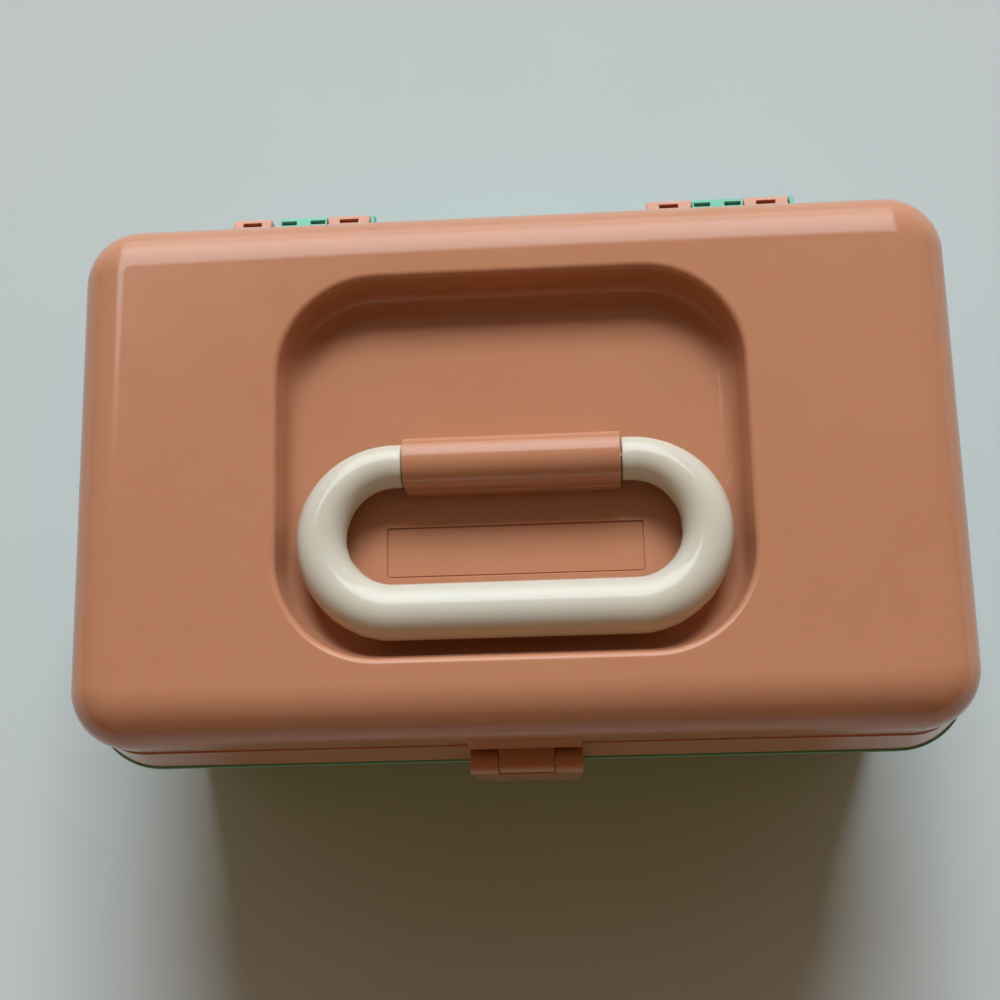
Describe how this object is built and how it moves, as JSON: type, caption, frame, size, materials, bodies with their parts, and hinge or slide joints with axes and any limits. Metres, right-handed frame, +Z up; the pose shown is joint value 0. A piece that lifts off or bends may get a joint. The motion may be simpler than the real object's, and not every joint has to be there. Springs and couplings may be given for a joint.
{
  "type": "make-up storage case",
  "caption": "Portable make-up storage case: a drafted tub, a domed hinged lid with a folding carry handle in a recess, a front latch, a lid mirror and a tray that rises with the lid.",
  "frame": {"origin": "middle of the tub's flat underside, on the surface that the case stands on", "axes": "+X along the width, to the right seen from the front; the latch and front face -Y; +Z up"},
  "size_m": [0.271, 0.1845, 0.1323],
  "materials": {
    "peach_plastic": "satin-gloss injection-moulded polypropylene",
    "mint_plastic": "satin injection-moulded polypropylene",
    "cream_plastic": "glossy moulded plastic",
    "steel": "zinc-plated wire and strip",
    "mirror": "silvered float glass",
    "foam": "white foam tape"
  },
  "bodies": {
    "tub": {"base_tub": "mint_plastic", "base_pivot_studs": "steel", "hinge_pin_left": "steel", "hinge_pin_right": "steel"},
    "lid": {"lid_shell": "peach_plastic", "tray_hanger_left": "steel", "tray_hanger_right": "steel", "hanger_rivets": "steel", "mirror_frame": "peach_plastic", "mirror_glass": "mirror", "mirror_pad": "foam", "mirror_screws": "steel", "latch_pin": "steel"},
    "handle": {"carry_handle": "cream_plastic", "handle_rod": "steel"},
    "latch": {"latch": "peach_plastic"},
    "tray": {"tray": "cream_plastic", "tray_divider_left": "cream_plastic", "tray_divider_middle": "cream_plastic", "tray_divider_right": "cream_plastic", "front_tray_rivets": "steel", "rear_tray_rivets": "steel"},
    "arm_left": {"swing_arm_left": "steel"},
    "arm_right": {"swing_arm_right": "steel"}
  },
  "joints": [
    {"name": "lid_hinge", "type": "hinge", "parent": "tub", "child": "lid", "pos_m": [0, 0.089, 0.085], "axis": [-1, 0, 0], "range_deg": [0, 105]},
    {"name": "handle_pivot", "type": "hinge", "parent": "lid", "child": "handle", "pos_m": [0, 0, 0.1243], "axis": [-1, 0, 0], "range_deg": [0, 180]},
    {"name": "latch_pivot", "type": "hinge", "parent": "lid", "child": "latch", "pos_m": [0.0012, -0.0846, 0.1], "axis": [-1, 0, 0], "range_deg": [0, 70]},
    {"name": "tray_pivot", "type": "hinge", "parent": "lid", "child": "tray", "pos_m": [0, 0.039, 0.075], "axis": [-1, 0, 0], "range_deg": [-105, 0]},
    {"name": "arm_pivot_left", "type": "hinge", "parent": "tub", "child": "arm_left", "pos_m": [-0.1211, -0.001, 0.077], "axis": [-1, 0, 0], "range_deg": [0, 105]},
    {"name": "arm_pivot_right", "type": "hinge", "parent": "tub", "child": "arm_right", "pos_m": [0.1211, -0.001, 0.077], "axis": [-1, 0, 0], "range_deg": [0, 105]}
  ],
  "couplings": [
    {"joint": "tray_pivot", "follows": "lid_hinge", "ratio": -1},
    {"joint": "arm_pivot_left", "follows": "lid_hinge", "ratio": 1},
    {"joint": "arm_pivot_right", "follows": "lid_hinge", "ratio": 1}
  ]
}
